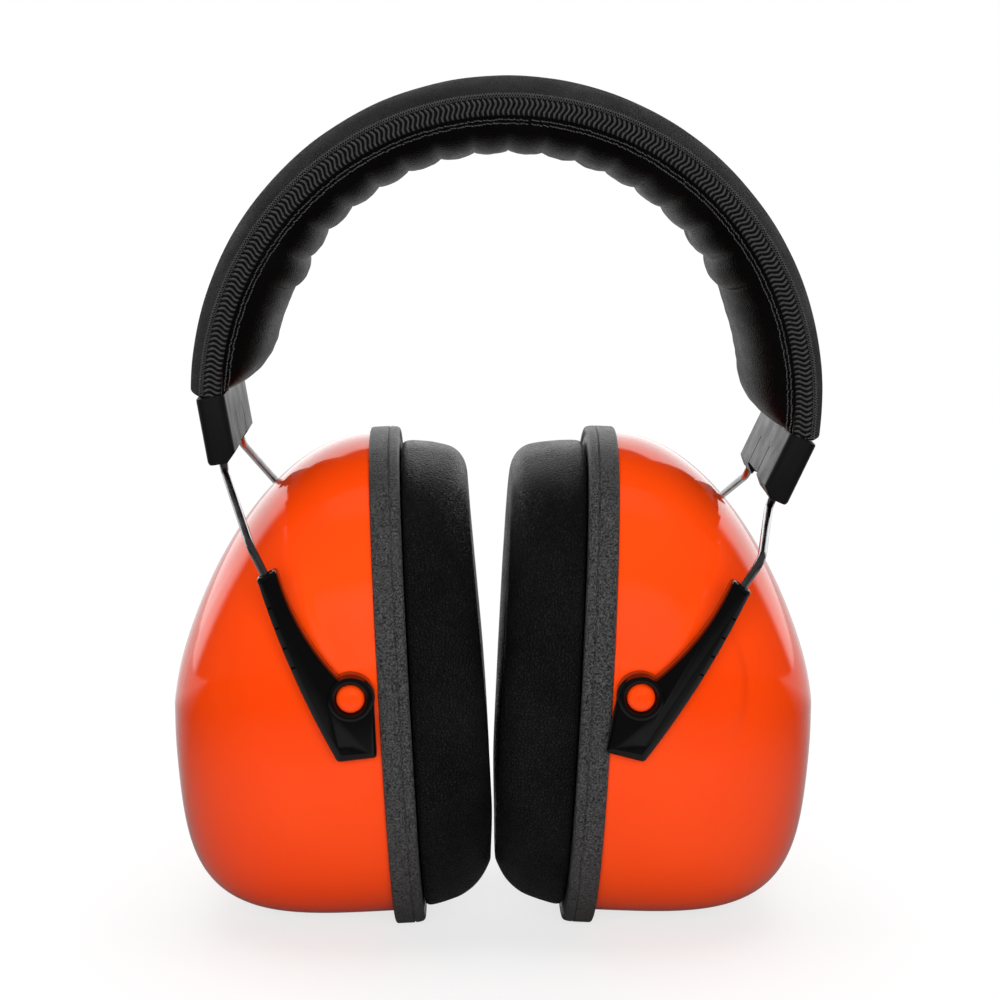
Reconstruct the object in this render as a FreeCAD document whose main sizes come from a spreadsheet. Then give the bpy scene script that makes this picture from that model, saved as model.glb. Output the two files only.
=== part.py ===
import FreeCAD, Part
import math
import os
import Sketcher
from FreeCAD import Placement, Rotation, Vector

# Earmuff hearing protector standing on the lower edges of its two cups.
# Millimetres. +X is the wearer's left-to-right width, the front faces -Y, +Z is up.
# The origin is on the floor, midway across the width and the depth.
# Two spring wires arch over the head inside a padded band, leave it through an end
# clip on each side, and run down inside sliding arms. Each cup turns on two pins
# between its front and its rear arm.

DIMENSIONS = (
    # cups: reach is measured from the widest line of the oval
    ("cup_middle_x", -0.6, "middle between the two cups"),
    ("pivot_half_spacing", 32.4, "pivot axis to the middle"),
    ("cup_tilt", 2.83, "degrees, tops apart"),
    ("widest_drop", 8.1, "pivot axis down to the widest line"),
    ("oval_power", 2.3, "squareness of the oval outlines"),
    ("shell_back", 6.0, "pivot axis to the base plate's outer face"),
    ("shell_depth", 50.3, "base plate to the crown of the shell"),
    ("shell_half_width", 42.3, ""),
    ("shell_top_reach", 61.0, ""),
    ("shell_bottom_reach", 54.0, ""),
    ("shell_wall", 2.4, ""),
    ("boss_radius", 4.2, "inside the shell, round each pin"),
    ("boss_length", 6.0, ""),
    ("plate_thickness", 7.0, "base plate between shell and cushion"),
    ("plate_half_width", 44.0, ""),
    ("plate_top_reach", 62.2, ""),
    ("plate_bottom_reach", 57.2, ""),
    ("foot_drop", 64.6, "pivot axis down to the flat the plate stands on"),
    ("ear_opening_inset", 22.0, "plate's edge to the ear opening"),
    ("ring_inset", 7.0, "plate's edge to the cushion's snap ring"),
    ("ring_thickness", 1.2, ""),
    ("cushion_inset", 4.0, "plate's edge to the cushion"),
    ("cushion_thickness", 13.6, "snap ring to the face on the head"),
    ("cushion_round", 6.0, ""),
    ("skin_thickness", 1.2, "of the ear cushion and of the headband pad"),
    ("absorber_inset", 14.0, "plate's edge to the damping foam"),
    ("absorber_length", 20.0, ""),
    # arms: across is measured from the pivot, square to the wire, outwards
    ("arm_lean", 30.0, "degrees, tops apart"),
    ("headband_turn", 4.2, "degrees, the headband sits turned to the right"),
    ("arm_inner_y", 43.0, ""),
    ("arm_thickness", 4.6, ""),
    ("arm_top", 33.4, "pivot up to the sleeve's mouth"),
    ("arm_foot", 12.6, "pivot down to the foot"),
    ("collar_radius", 5.4, ""),
    ("collar_height", 0.8, ""),
    ("arm_bevel", 0.8, ""),
    ("arm_relief", 1.4, "cut from the back of the toe, over the base plate's edge"),
    ("first_notch", 26.3, "pivot up to the top notch in the arm's outer edge"),
    ("notch_pitch", 4.8, ""),
    ("notch_radius", 0.5, ""),
    ("wire_across", 4.75, "pivot to the wire in the sleeve"),
    ("wire_sleeve_y", 45.2, ""),
    ("sleeve_depth", 33.0, ""),
    ("running_gap", 0.05, "radial clearance of wires and pins"),
    ("pin_radius", 1.75, ""),
    ("pin_head_radius", 3.2, ""),
    ("pin_head_height", 1.5, ""),
    ("pin_dome", 0.9, ""),
    ("pin_shoulder_radius", 2.3, "a point half way up the dome"),
    ("pin_shoulder_drop", 0.38, ""),
    ("pin_flat_radius", 0.5, "small flat on top of the dome"),
    ("pin_length", 10.6, "under the head"),
    # wires
    ("wire_radius", 1.0, ""),
    ("wire_band_y", 23.6, ""),
    ("kink_height", 40.4, "pivot to the kink, along the arm"),
    ("wire_end_height", 3.0, "pivot to the wire's end, along the arm"),
    ("kink_bend", 4.0, ""),
    ("exit_bend", 3.0, ""),
    ("band_end_bend", 8.0, ""),
    # headband: radii about the arch's centre
    ("arch_centre_x", 2.6, ""),
    ("arch_centre_z", 127.2, ""),
    ("arch_sweep", 181.4, "degrees"),
    ("wire_arch_radius", 67.6, ""),
    ("band_half_width", 25.0, ""),
    ("crown_radius", 74.2, "outside of the cover, at its middle"),
    ("cover_edge_radius", 70.0, ""),
    ("cover_inner_radius", 68.9, ""),
    ("pad_outer_radius", 66.2, ""),
    ("pad_edge_radius", 60.0, ""),
    ("pad_inner_radius", 54.0, "inside of the pad, at its middle"),
    ("foam_half_width", 21.0, ""),
    ("binding_outer_radius", 69.8, ""),
    ("binding_inner_radius", 65.2, ""),
    ("binding_thickness", 1.3, ""),
    # end clips
    ("clip_gap", 2.2, "band's end to the clip"),
    ("left_clip_lean", 9.5, "degrees, tops apart"),
    ("right_clip_lean", 25.0, "degrees, tops apart"),
    ("clip_height", 15.2, ""),
    ("clip_half_depth", 3.4, "across the band's thickness"),
    ("clip_half_width", 27.0, ""),
    ("column_width", 6.6, ""),
    ("clip_plate_thickness", 2.2, ""),
    ("clip_corner", 1.3, ""),
    ("clip_chamfer", 2.2, "along the lower end, on the side of the head"),
    ("wire_flare", 0.6, "wider round the wire at the clip's two ends"),
    ("wire_flare_depth", 2.5, ""),
    ("tongue_half_width", 8.5, ""),
    ("tongue_length", 9.6, ""),
    ("notch_height", 2.8, ""),
    ("slit_width", 0.7, ""),
)

doc = FreeCAD.newDocument("Earmuff")
sheet = doc.addObject("Spreadsheet::Sheet", "Dims")
for row, (alias, value, meaning) in enumerate(DIMENSIONS, start=1):
    sheet.set(f"A{row}", alias)
    sheet.set(f"B{row}", str(value))
    sheet.setAlias(f"B{row}", alias)
    if meaning:
        sheet.set(f"C{row}", meaning)
doc.recompute()

SIDES = {"left": -1, "right": 1}
FACINGS = {"front": -1, "rear": 1}
NOTCHES = 4

# How full the shell stays towards its crown: powers of its depth and of its reach.
SHELL_SIDES = (2.8, 2.8)
SHELL_TOP = (1.98, 1.32)
SHELL_BOTTOM = (3.82, 4.72)

Y_AXIS = Vector(0, 1, 0)
Z_AXIS = Vector(0, 0, 1)
OVAL_POINTS = 32
parts = []


def size(alias):
    return float(sheet.get(alias))


def new_body(label):
    body = doc.addObject("PartDesign::Body", label)
    body.Label = label
    parts.append(body)
    return body


def add_sketch(body, plane, geometry, offset=""):
    """A sketch on one of the body's own planes, moved along its normal by an expression."""
    sketch = body.newObject("Sketcher::SketchObject", body.Label + "_sketch")
    features = body.Origin.OriginFeatures
    support = [feature for feature in features if feature.Role == plane][0]
    sketch.AttachmentSupport = [(support, "")]
    sketch.MapMode = "FlatFace"
    sketch.addGeometry(geometry, False)
    if offset:
        sketch.setExpression(".AttachmentOffset.Base.z", offset)
    return sketch


def bind_circle(sketch, index, expression):
    """Drives the radius of one of the sketch's circles from the sheet."""
    radius = sketch.Geometry[index].Radius
    constraint = sketch.addConstraint(Sketcher.Constraint("Radius", index, radius))
    sketch.setExpression(f"Constraints[{constraint}]", expression)


def add_pad(body, sketch, length, reverse=False):
    pad = body.newObject("PartDesign::Pad", body.Label + "_pad")
    pad.Profile = sketch
    pad.setExpression("Length", length)
    pad.Reversed = reverse
    return pad


def add_pocket(body, sketch, length, reverse=False):
    """A pocket of the given depth. It has to take material away."""
    doc.recompute()
    before = body.Shape.Volume
    pocket = body.newObject("PartDesign::Pocket", body.Label + "_pocket")
    pocket.Profile = sketch
    pocket.setExpression("Length", length)
    pocket.Reversed = reverse
    doc.recompute()
    if body.Shape.Volume >= before:
        raise RuntimeError(f"a pocket of {body.Label} cuts nothing")
    return pocket


def add_revolution(body, sketch, angle):
    """The sketch turned about its own vertical axis, half the angle each way."""
    turn = body.newObject("PartDesign::Revolution", body.Label + "_turn")
    turn.Profile = sketch
    turn.ReferenceAxis = (sketch, ["V_Axis"])
    turn.setExpression("Angle", angle)
    turn.Midplane = True
    return turn


def dress(body, kind, wanted, expression):
    """A Fillet or Chamfer of the edges of the body's tip for which wanted is true."""
    doc.recompute()
    base = body.Tip
    names = []
    for number, edge in enumerate(base.Shape.Edges, start=1):
        if wanted(edge):
            names.append(f"Edge{number}")
    feature = body.newObject("PartDesign::" + kind, body.Label + "_" + kind.lower())
    feature.Base = (base, names)
    feature.setExpression("Radius" if kind == "Fillet" else "Size", expression)
    return feature


def lies_at(edge, axis, value, slack=0.01):
    """True if the whole edge lies in the plane where that coordinate has that value."""
    box = edge.BoundBox
    low = getattr(box, axis + "Min")
    high = getattr(box, axis + "Max")
    return abs(low - value) < slack and abs(high - value) < slack


def add_feature(label, shape):
    feature = doc.addObject("Part::Feature", label)
    feature.Label = label
    feature.Shape = shape
    parts.append(feature)
    return feature


def polygon(points):
    corners = [Vector(*point, 0) for point in points]
    return [Part.LineSegment(*ends) for ends in zip(corners, corners[1:] + corners[:1])]


def circle(x, y, radius):
    return Part.Circle(Vector(x, y, 0), Z_AXIS, radius)


def oval_points(half_width, top, bottom, first=0.0, last=2 * math.pi):
    """Points of an egg-shaped superellipse about the widest line, (across, up)."""
    power = 2 / size("oval_power")
    points = []
    for step in range(OVAL_POINTS + 1):
        angle = first + (last - first) * step / OVAL_POINTS
        across, up = math.cos(angle), math.sin(angle)
        reach = top if up > 0 else bottom
        points.append(
            (
                half_width * math.copysign(abs(across) ** power, across),
                reach * math.copysign(abs(up) ** power, up) - size("widest_drop"),
            )
        )
    return points


def plate_oval(inset):
    """Closed outline parallel to the base plate's edge."""
    points = oval_points(
        size("plate_half_width") - inset,
        size("plate_top_reach") - inset,
        size("plate_bottom_reach") - inset,
    )
    curve = Part.BSplineCurve()
    curve.interpolate([Vector(*point, 0) for point in points[:-1]], PeriodicFlag=True)
    return curve


def plate_outline():
    """The base plate's edge: an oval cut off by the flat it stands on."""
    reach = size("foot_drop") - size("widest_drop")
    power = size("oval_power")
    sine = (reach / size("plate_bottom_reach")) ** (power / 2)
    foot = math.asin(sine)
    points = oval_points(
        size("plate_half_width"),
        size("plate_top_reach"),
        size("plate_bottom_reach"),
        -foot,
        math.pi + foot,
    )
    corners = [Vector(*point, 0) for point in points]
    curve = Part.BSplineCurve()
    curve.interpolate(corners)
    return [curve, Part.LineSegment(corners[-1], corners[0])]


def foot_height():
    """Pivot axis above the floor: the plate's outer lower edge touches the floor."""
    tilt = math.radians(size("cup_tilt"))
    return size("foot_drop") * math.cos(tilt) - size("shell_back") * math.sin(tilt)


def pivot(side):
    across = size("cup_middle_x") + SIDES[side] * size("pivot_half_spacing")
    return Vector(across, 0, foot_height())


def facing_outwards(side, lean):
    """Turns a piece made for the right side to its own side, with its top leant out."""
    about = Rotation(Z_AXIS, 0 if side == "right" else 180)
    return Rotation(Y_AXIS, SIDES[side] * lean).multiply(about)


def place_on_cup(piece, side):
    piece.Placement = Placement(pivot(side), facing_outwards(side, size("cup_tilt")))


def lean_of_arm(side):
    return size("arm_lean") + SIDES[side] * size("headband_turn")


def left_at(share, fullness):
    """How much of its reach the shell still has at a share of its depth."""
    along, across = fullness
    return (1 - share**along) ** (1 / across)


def shell_section(share, wall):
    """Closed wire of the shell at a share of its depth, thinner by the wall."""
    depth = size("shell_depth") - wall
    half_width = (size("shell_half_width") - wall) * left_at(share, SHELL_SIDES)
    top = (size("shell_top_reach") - wall) * left_at(share, SHELL_TOP)
    bottom = (size("shell_bottom_reach") - wall) * left_at(share, SHELL_BOTTOM)
    x = share * depth - size("shell_back")
    curve = Part.BSplineCurve()
    points = oval_points(half_width, top, bottom)[:-1]
    curve.interpolate([Vector(x, y, z) for y, z in points], PeriodicFlag=True)
    return Part.Wire(curve.toShape())


def shell_solid(wall):
    """Solid dome, slightly flat at its crown."""
    steps = 12
    flat_crown = math.radians(84)
    sections = []
    for step in range(steps + 1):
        sections.append(shell_section(math.sin(flat_crown * step / steps), wall))
    return Part.makeLoft(sections, True, False)


def make_cup_shell(side):
    """Hollow dome with a boss inside for each pivot pin."""
    outside = shell_solid(0)
    shell = outside.cut(shell_solid(size("shell_wall")))
    deepest = size("arm_inner_y") - size("boss_length")
    for facing in FACINGS.values():
        start = Vector(0, facing * deepest, 0)
        out = Vector(0, facing, 0)
        boss = Part.makeCylinder(size("boss_radius"), size("boss_length"), start, out)
        shell = shell.fuse(boss.common(outside))
        shell = shell.cut(
            Part.makeCylinder(size("pin_radius"), size("boss_length"), start, out)
        )
    place_on_cup(add_feature(f"{side}_cup_shell", shell.removeSplitter()), side)


def make_base_plate(side):
    """Oval plate that closes the shell, with the ear opening and a flat foot."""
    body = new_body(f"{side}_base_plate")
    opening = plate_oval(size("ear_opening_inset"))
    sketch = add_sketch(body, "YZ_Plane", plate_outline() + [opening], "-Dims.shell_back")
    add_pad(body, sketch, "Dims.plate_thickness", reverse=True)
    place_on_cup(body, side)


def make_cushion_ring(side):
    """Thin plastic ring that snaps the ear cushion into the base plate."""
    body = new_body(f"{side}_cushion_ring")
    outlines = [plate_oval(size("ring_inset")), plate_oval(size("ear_opening_inset"))]
    level = "-Dims.shell_back - Dims.plate_thickness"
    add_pad(body, add_sketch(body, "YZ_Plane", outlines, level), "Dims.ring_thickness", True)
    place_on_cup(body, side)


CUSHION_BACK = "-Dims.shell_back - Dims.plate_thickness - Dims.ring_thickness"
FOAM_THICKNESS = "Dims.cushion_thickness - Dims.skin_thickness"


def rounded_ring(body, outlines, thickness, rounding, face):
    """Pads a ring towards the head and rounds the two edges of its face."""
    sketch = add_sketch(body, "YZ_Plane", outlines, CUSHION_BACK)
    add_pad(body, sketch, thickness, reverse=True)
    dress(body, "Fillet", lambda edge: lies_at(edge, "X", face), rounding)


def make_cushion(side):
    """Soft ring round the ear: a rounded block, less the foam ring that fills it."""
    skin, inset = size("skin_thickness"), size("cushion_inset")
    opening = size("ear_opening_inset")
    face = -size("shell_back") - size("plate_thickness") - size("ring_thickness")
    face -= size("cushion_thickness")
    foam = new_body(f"{side}_cushion_foam")
    outlines = [plate_oval(inset + skin), plate_oval(opening - skin)]
    rounding = "Dims.cushion_round - Dims.skin_thickness"
    rounded_ring(foam, outlines, FOAM_THICKNESS, rounding, face + skin)
    place_on_cup(foam, side)
    block = doc.addObject("PartDesign::Body", f"{side}_cushion_block")
    outlines = [plate_oval(inset), plate_oval(opening)]
    rounded_ring(block, outlines, "Dims.cushion_thickness", "Dims.cushion_round", face)
    place_on_cup(block, side)
    cushion = doc.addObject("Part::Cut", f"{side}_ear_cushion")
    cushion.Base = block
    cushion.Tool = foam
    parts.append(cushion)


def make_absorber(side):
    """Block of damping foam that lies in the shell behind the ear opening."""
    body = new_body(f"{side}_absorber_foam")
    outline = [plate_oval(size("absorber_inset"))]
    sketch = add_sketch(body, "YZ_Plane", outline, "-Dims.shell_back")
    add_pad(body, sketch, "Dims.absorber_length")
    place_on_cup(body, side)


def make_pivot_pin(side, facing):
    """Snap pin with a domed head. It turns in the arm and is pressed into the shell."""
    body = new_body(f"{side}_{facing}_pivot_pin")
    head, shaft = size("pin_head_radius"), size("pin_radius")
    top, dome = size("pin_head_height"), size("pin_dome")
    end = -size("pin_length")
    corners = [(0, end), (shaft, end), (shaft, 0), (head, 0), (head, top - dome)]
    points = [Vector(x, y, 0) for x, y in corners]
    flat = Vector(size("pin_flat_radius"), top, 0)
    crown = Vector(0, top, 0)
    shoulder = Vector(size("pin_shoulder_radius"), top - size("pin_shoulder_drop"), 0)
    profile = [Part.LineSegment(*ends) for ends in zip(points, points[1:])]
    profile.append(Part.Arc(points[-1], shoulder, flat))
    profile.append(Part.LineSegment(flat, crown))
    profile.append(Part.LineSegment(crown, points[0]))
    add_revolution(body, add_sketch(body, "XY_Plane", profile), "360")
    out = FACINGS[facing]
    seat = size("arm_inner_y") + size("arm_thickness") - size("pin_head_height") / 2
    at = pivot(side) + Vector(0, out * seat, 0)
    about = Rotation(Z_AXIS, 180 if facing == "front" else 0)
    lean = Rotation(Y_AXIS, SIDES[side] * size("cup_tilt"))
    body.Placement = Placement(at, lean.multiply(about))


def arm_outline(side):
    """Outline seen from the front, (across, up), with the pivot at its origin."""
    out = SIDES[side]
    top, foot = size("arm_top"), size("arm_foot")
    collar = size("collar_radius")

    def point(across, up):
        return Vector(out * across, up, 0)

    inner_mouth, outer_mouth = point(1.9, top), point(6.8, top)
    outer_foot = point(9.2, 2 - foot)
    heel = point(8.5, 0.5 - foot)
    toe = point(1.4, -2 - foot)
    inner_toe = point(0.4, -1.4 - foot)
    low_turn, side_turn = math.radians(40), math.radians(23)
    collar_low = point(-collar * math.cos(low_turn), -collar * math.sin(low_turn))
    collar_side = point(-collar * math.cos(side_turn), collar * math.sin(side_turn))
    collar_high = point(0.4, collar)
    return [
        Part.LineSegment(inner_mouth, outer_mouth),
        Part.Arc(outer_mouth, point(8.85, 15), outer_foot),
        Part.LineSegment(outer_foot, heel),
        Part.LineSegment(heel, toe),
        Part.LineSegment(toe, inner_toe),
        Part.LineSegment(inner_toe, collar_low),
        Part.Arc(collar_low, collar_side, collar_high),
        Part.Arc(collar_high, point(2.8, 19), inner_mouth),
    ]


def make_arm(side, facing):
    """Sliding arm: a flat lever with a sleeve for the wire and a collar for the pin."""
    body = new_body(f"{side}_{facing}_arm")
    out = SIDES[side]
    rear = facing == "rear"
    sign = "-" if rear else ""
    inner = f"{sign}Dims.arm_inner_y"
    outer = f"{sign}(Dims.arm_inner_y + Dims.arm_thickness)"
    face_y = FACINGS[facing] * (size("arm_inner_y") + size("arm_thickness"))
    add_pad(body, add_sketch(body, "XZ_Plane", arm_outline(side), inner), "Dims.arm_thickness", rear)

    def is_bevelled(edge):
        """The edges of the outer face, other than the collar's round one."""
        inboard = edge.BoundBox.XMax if side == "left" else -edge.BoundBox.XMin
        return lies_at(edge, "Y", face_y) and inboard < 0.9 * size("collar_radius")

    dress(body, "Chamfer", is_bevelled, "Dims.arm_bevel")

    collar = add_sketch(body, "XZ_Plane", [circle(0, 0, size("collar_radius"))], outer)
    bind_circle(collar, 0, "Dims.collar_radius - Dims.arm_bevel / 2")
    add_pad(body, collar, "Dims.collar_height", rear)

    head = size("pin_head_radius") + size("running_gap")
    seat = f"{sign}(Dims.arm_inner_y + Dims.arm_thickness - Dims.pin_head_height / 2)"
    recess = add_sketch(body, "XZ_Plane", [circle(0, 0, head)], seat)
    bind_circle(recess, 0, "Dims.pin_head_radius + Dims.running_gap")
    add_pocket(body, recess, "Dims.pin_head_height", not rear)
    shaft = size("pin_radius") + size("running_gap")
    bore = add_sketch(body, "XZ_Plane", [circle(0, 0, shaft)], inner)
    bind_circle(bore, 0, "Dims.pin_radius + Dims.running_gap")
    add_pocket(body, bore, "Dims.arm_thickness", not rear)

    wire_at = (out * size("wire_across"), FACINGS[facing] * size("wire_sleeve_y"))
    hole = size("wire_radius") + size("running_gap")
    sleeve = add_sketch(body, "XY_Plane", [circle(*wire_at, hole)], "Dims.arm_top")
    bind_circle(sleeve, 0, "Dims.wire_radius + Dims.running_gap")
    add_pocket(body, sleeve, "Dims.sleeve_depth")

    outer_edge = arm_outline(side)[1].toShape().Curve
    centre, radius = outer_edge.Center, outer_edge.Radius
    circles = []
    for notch in range(NOTCHES):
        up = size("first_notch") - notch * size("notch_pitch")
        across = centre.x + out * math.sqrt(radius**2 - (up - centre.y) ** 2)
        circles.append(circle(across, up, size("notch_radius")))
    notches = add_sketch(body, "XZ_Plane", circles, inner)
    add_pocket(body, notches, "Dims.arm_thickness", not rear)

    low = -2 - size("arm_foot")
    beside_toe = [(-6, 0), (3.2, low - 1), (-8, low - 1)]
    corners = polygon([(out * across, up) for across, up in beside_toe])
    add_pocket(body, add_sketch(body, "XZ_Plane", corners, inner), "Dims.arm_relief", not rear)
    lean = Rotation(Y_AXIS, out * lean_of_arm(side))
    body.Placement = Placement(pivot(side), lean)


def band_placement():
    """The arch's frame: its radial X axis points up through the middle of the band."""
    centre = Vector(size("arch_centre_x"), 0, size("arch_centre_z"))
    return Placement(centre, Rotation(Y_AXIS, size("headband_turn") - 90))


def add_band_layer(label, profile):
    body = new_body(label)
    add_revolution(body, add_sketch(body, "XY_Plane", profile), "Dims.arch_sweep")
    body.Placement = band_placement()


def crowned(inner, edge, crown, half_width):
    """Section of a layer: flat sides, one face flat across and the other crowned."""
    low, high = Vector(edge, -half_width, 0), Vector(edge, half_width, 0)
    start, end = Vector(inner, -half_width, 0), Vector(inner, half_width, 0)
    return [
        Part.LineSegment(start, low),
        Part.Arc(low, Vector(crown, 0, 0), high),
        Part.LineSegment(high, end),
        Part.LineSegment(end, start),
    ]


def make_headband_cover():
    add_band_layer(
        "headband_cover",
        crowned(
            size("cover_inner_radius"),
            size("cover_edge_radius"),
            size("crown_radius"),
            size("band_half_width"),
        ),
    )


def make_headband_foam():
    skin = size("skin_thickness")
    add_band_layer(
        "headband_foam",
        crowned(
            size("cover_inner_radius"),
            size("pad_edge_radius"),
            size("pad_inner_radius") + skin,
            size("foam_half_width"),
        ),
    )


def make_headband_pad():
    """Skin of the pad on the head, a trough that holds the foam."""
    half, foam = size("band_half_width"), size("foam_half_width")
    brim, edge = size("pad_outer_radius"), size("pad_edge_radius")
    inner, skin = size("pad_inner_radius"), size("skin_thickness")
    corners = [(brim, half), (brim, foam), (edge, foam)]
    high = [Vector(x, y, 0) for x, y in corners]
    low = [Vector(x, -y, 0) for x, y in corners]
    high_edge, low_edge = Vector(edge, half, 0), Vector(edge, -half, 0)
    add_band_layer(
        "headband_pad",
        [
            Part.LineSegment(high_edge, high[0]),
            Part.LineSegment(high[0], high[1]),
            Part.LineSegment(high[1], high[2]),
            Part.Arc(high[2], Vector(inner + skin, 0, 0), low[2]),
            Part.LineSegment(low[2], low[1]),
            Part.LineSegment(low[1], low[0]),
            Part.LineSegment(low[0], low_edge),
            Part.Arc(low_edge, Vector(inner, 0, 0), high_edge),
        ],
    )


def make_binding(facing):
    """Ribbed tape sewn over the band's edge."""
    near = FACINGS[facing] * size("band_half_width")
    far = near + FACINGS[facing] * size("binding_thickness")
    inner, outer = size("binding_inner_radius"), size("binding_outer_radius")
    section = polygon([(inner, near), (outer, near), (outer, far), (inner, far)])
    add_band_layer(f"{facing}_binding", section)


def on_arch(angle):
    radius = size("wire_arch_radius")
    across = size("arch_centre_x") + radius * math.cos(angle)
    return Vector(across, 0, size("arch_centre_z") + radius * math.sin(angle))


def band_end_angle(side):
    """Where the band ends, in radians from +X about the arch's centre."""
    middle = 90 - size("headband_turn")
    return math.radians(middle - SIDES[side] * size("arch_sweep") / 2)


def clip_top(side):
    """Middle of the clip's upper face, on the wires' line."""
    angle = band_end_angle(side)
    out = SIDES[side]
    down = Vector(out * math.sin(angle), 0, -out * math.cos(angle))
    return on_arch(angle) + down * size("clip_gap")


def make_end_clip(side):
    """Moulded clip: a column round each wire, a plate between with a springy tongue."""
    body = new_body(f"{side}_end_clip")
    depth, half = size("clip_half_depth"), size("clip_half_width")
    plate = size("clip_plate_thickness")
    inside = half - size("column_width")
    section = polygon(
        [
            (-depth, -half),
            (depth, -half),
            (depth, -inside),
            (plate - depth, -inside),
            (plate - depth, inside),
            (depth, inside),
            (depth, half),
            (-depth, half),
        ]
    )
    add_pad(body, add_sketch(body, "XY_Plane", section), "Dims.clip_height", reverse=True)

    def is_outer_corner(edge):
        box = edge.BoundBox
        upright = box.ZLength > size("clip_height") - 0.01
        return upright and abs(abs(box.XMin) - depth) < 0.01

    dress(body, "Fillet", is_outer_corner, "Dims.clip_corner")
    bottom, chamfer = -size("clip_height"), size("clip_chamfer")
    corner = polygon([(-depth, bottom), (chamfer - depth, bottom), (-depth, bottom + chamfer)])
    sketch = add_sketch(body, "XZ_Plane", corner, "Dims.clip_half_width")
    add_pocket(body, sketch, "2 * Dims.clip_half_width")

    holes = [circle(0, facing * size("wire_band_y"), 1) for facing in FACINGS.values()]
    bore = add_sketch(body, "XY_Plane", holes)
    for index in range(len(holes)):
        bind_circle(bore, index, "Dims.wire_radius + Dims.running_gap")
    add_pocket(body, bore, "Dims.clip_height")
    wide = size("wire_radius") + size("wire_flare")
    for level, upwards in (("", False), ("-Dims.clip_height", True)):
        holes = [circle(0, facing * size("wire_band_y"), wide) for facing in FACINGS.values()]
        flare = add_sketch(body, "XY_Plane", holes, level)
        add_pocket(body, flare, "Dims.wire_flare_depth", upwards)

    tongue, slit = size("tongue_half_width"), size("slit_width")
    notch = size("notch_height")
    slit_top = bottom + size("tongue_length")
    cuts = [(-tongue, tongue, bottom, bottom + notch)]
    for facing in FACINGS.values():
        cuts.append((facing * tongue, facing * (tongue - slit), bottom + notch / 2, slit_top))
    for near, far, low, high in cuts:
        cut = polygon([(near, low), (far, low), (far, high), (near, high)])
        add_pocket(body, add_sketch(body, "YZ_Plane", cut), "Dims.clip_half_depth")
    lean = size(f"{side}_clip_lean")
    body.Placement = Placement(clip_top(side), facing_outwards(side, lean))


def wire_corners(side, facing):
    """Corners of one end of a wire, from inside the arm to the band's end, with bends."""
    out = SIDES[side]
    across_y = FACINGS[facing]
    lean = math.radians(lean_of_arm(side))
    up = Vector(out * math.sin(lean), 0, math.cos(lean))
    square = Vector(out * math.cos(lean), 0, -math.sin(lean))
    leg = pivot(side) + square * size("wire_across")
    leg.y = across_y * size("wire_sleeve_y")
    clip_lean = math.radians(size(f"{side}_clip_lean"))
    down = Vector(-out * math.sin(clip_lean), 0, -math.cos(clip_lean))
    clip_line = clip_top(side) + Vector(0, across_y * size("wire_band_y"), 0)
    band_end = on_arch(band_end_angle(side))
    band_end.y = across_y * size("wire_band_y")
    return [
        (leg + up * size("wire_end_height"), 0),
        (leg + up * size("kink_height"), size("kink_bend")),
        (clip_line + down * (size("clip_height") + 2), size("exit_bend")),
        (clip_line, size("band_end_bend")),
        (band_end, 0),
    ]


def rounded_path(corners):
    """Lines through the corners, each corner rounded by an arc of its own radius."""
    edges = []
    start = corners[0][0]
    for (before, _), (corner, radius), (after, _) in zip(corners, corners[1:], corners[2:]):
        back = (before - corner).normalize()
        ahead = (after - corner).normalize()
        half = (ahead.getAngle(back)) / 2
        cut = radius / math.tan(half)
        middle = (back + ahead).normalize()
        arc = Part.Arc(
            corner + back * cut,
            corner + middle * (radius / math.sin(half) - radius),
            corner + ahead * cut,
        )
        edges.append(Part.LineSegment(start, corner + back * cut).toShape())
        edges.append(arc.toShape())
        start = corner + ahead * cut
    edges.append(Part.LineSegment(start, corners[-1][0]).toShape())
    return edges


def make_wire(facing):
    """One spring wire, from inside the left arm, through the band, into the right arm."""
    left = wire_corners("left", facing)
    right = wire_corners("right", facing)
    top = on_arch(math.radians(90 - size("headband_turn")))
    top.y = left[-1][0].y
    arch = Part.Arc(left[-1][0], top, right[-1][0]).toShape()
    edges = rounded_path(left) + [arch] + rounded_path(right[::-1])
    path = Part.Wire(Part.__sortEdges__(edges))
    start = left[0][0]
    along = left[1][0] - start
    section = Part.Wire(Part.Circle(start, along, size("wire_radius")).toShape())
    wire = path.makePipeShell([section], True, False)
    expected = math.pi * size("wire_radius") ** 2 * path.Length
    if abs(wire.Volume / expected - 1) > 0.02:
        raise RuntimeError(f"the {facing} wire's volume is wrong: {wire.Volume} for {expected}")
    add_feature(f"{facing}_spring_wire", wire)


def check_and_write():
    doc.recompute()
    for item in doc.Objects:
        if "Invalid" in item.State or "Error" in item.State:
            raise RuntimeError(f"{item.Label} failed: {item.State}")
    os.makedirs("parts", exist_ok=True)
    for part in parts:
        if part.Shape.isNull() or not part.Shape.isValid():
            raise RuntimeError(f"{part.Label} has no valid shape")
        part.Shape.exportStep(f"parts/{part.Label}.step")


for side in SIDES:
    make_cup_shell(side)
    make_base_plate(side)
    make_cushion_ring(side)
    make_cushion(side)
    make_absorber(side)
    make_end_clip(side)
    for facing in FACINGS:
        make_arm(side, facing)
        make_pivot_pin(side, facing)
make_headband_cover()
make_headband_foam()
make_headband_pad()
for facing in FACINGS:
    make_binding(facing)
    make_wire(facing)
check_and_write()
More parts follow.
